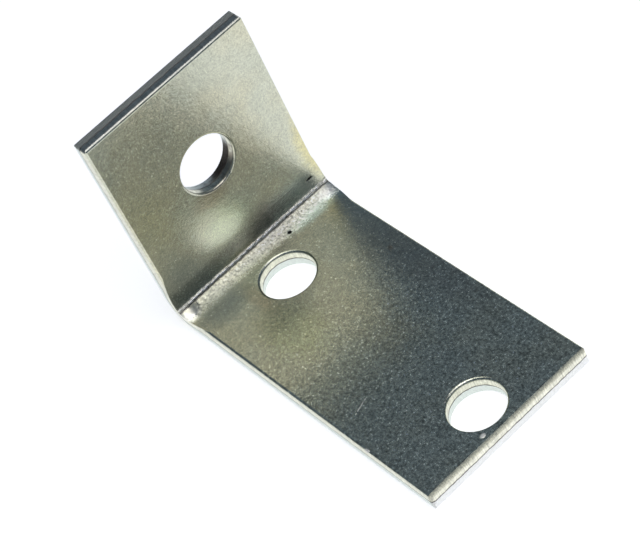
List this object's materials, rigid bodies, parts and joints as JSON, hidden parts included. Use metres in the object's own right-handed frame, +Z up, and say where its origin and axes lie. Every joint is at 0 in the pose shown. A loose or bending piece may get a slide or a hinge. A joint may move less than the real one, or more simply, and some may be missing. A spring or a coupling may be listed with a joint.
{
  "type": "angle bracket",
  "caption": "L-shaped bracket folded from a strip of zinc-plated steel, its long and short legs pierced for screws, for joining surfaces at a right angle.",
  "frame": {"origin": "centre of the footprint, in the plane of the long leg's outer face", "axes": "+X along the long leg towards its free end, +Y across the strip, +Z up along the short leg"},
  "size_m": [0.04, 0.0204, 0.0255],
  "materials": {
    "zinc_plated_steel": "bright zinc plating over mild steel, satin and slightly mottled, with sheared edges left as cut"
  },
  "bodies": {
    "root": {"bracket": "zinc_plated_steel"}
  },
  "joints": []
}
